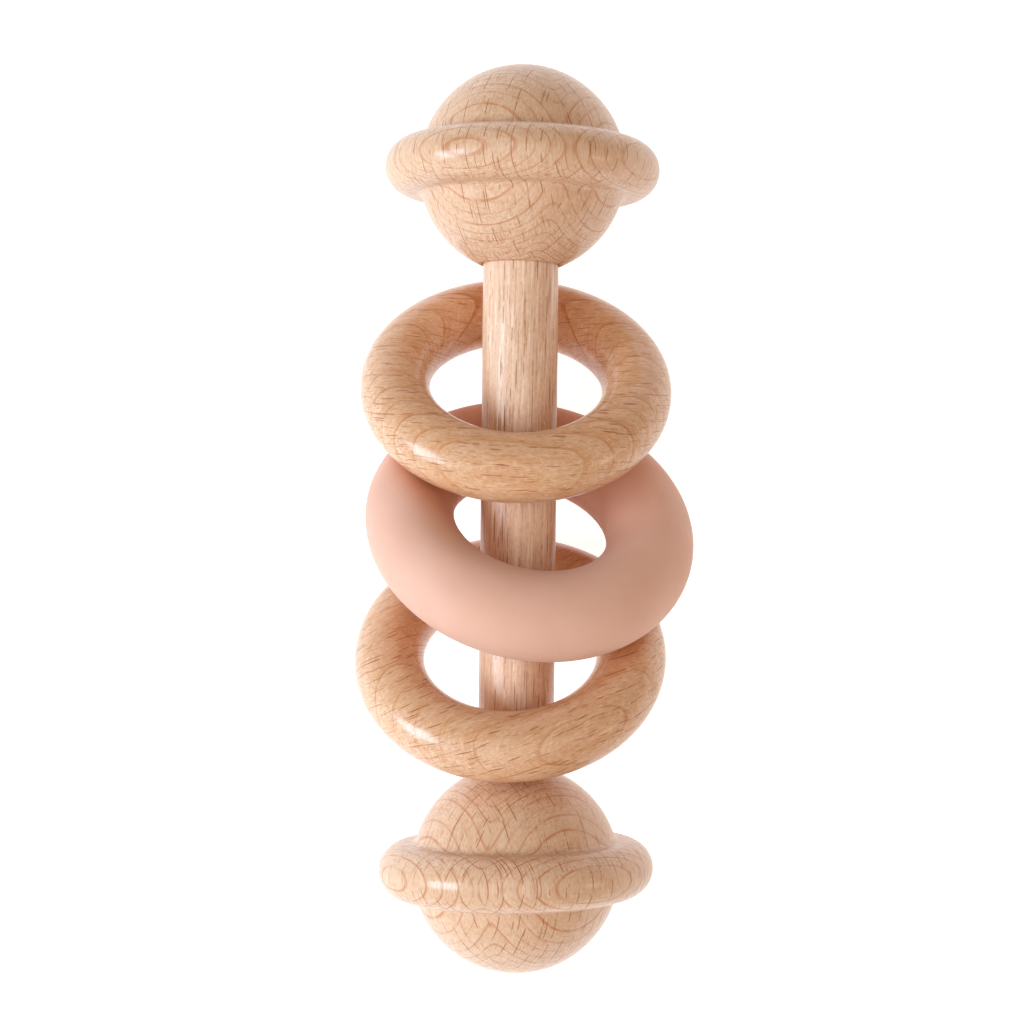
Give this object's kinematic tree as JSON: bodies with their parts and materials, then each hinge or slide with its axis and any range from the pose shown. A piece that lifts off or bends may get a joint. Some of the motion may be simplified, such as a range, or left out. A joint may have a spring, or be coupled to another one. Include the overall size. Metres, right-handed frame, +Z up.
{
  "type": "baby rattle",
  "caption": "Wooden dumbbell-shaped rattle: a round handle rod with a flanged ball at each end and loose wooden and silicone rings that slide, turn and knock together on the rod.",
  "frame": {"origin": "middle of the handle rod, on its axis", "axes": "+Y along the rod towards the upper knob, +Z up from the table that the rattle lies on, +X to the right when the upper knob points away"},
  "size_m": [0.054, 0.144, 0.0436],
  "materials": {
    "rod_beech": "fine-sanded and oiled beech, grain along the rod",
    "knob_beech": "turned, sanded and oiled beech",
    "ring_beech": "sanded and oiled beech, grain across the ring",
    "ring_silicone": "matte moulded silicone"
  },
  "bodies": {
    "handle": {"handle_rod": "rod_beech", "upper_knob": "knob_beech", "lower_knob": "knob_beech"},
    "upper_ring": {"upper_ring": "ring_beech"},
    "silicone_ring": {"silicone_ring": "ring_silicone"},
    "lower_ring": {"lower_ring": "ring_beech"}
  },
  "joints": [
    {"name": "upper_ring_slide", "type": "slide", "parent": "handle", "child": "upper_ring", "axis": [0, 1, 0], "range_m": [0, 0.006]},
    {"name": "silicone_ring_swivel", "type": "hinge", "parent": "handle", "child": "silicone_ring", "pos_m": [-0.0009, -0.01442, 0.006], "axis": [0, 0, 1], "range_deg": [0, 20]},
    {"name": "lower_ring_slide", "type": "slide", "parent": "handle", "child": "lower_ring", "axis": [0, 1, 0], "range_m": [-0.0015, 0]}
  ]
}
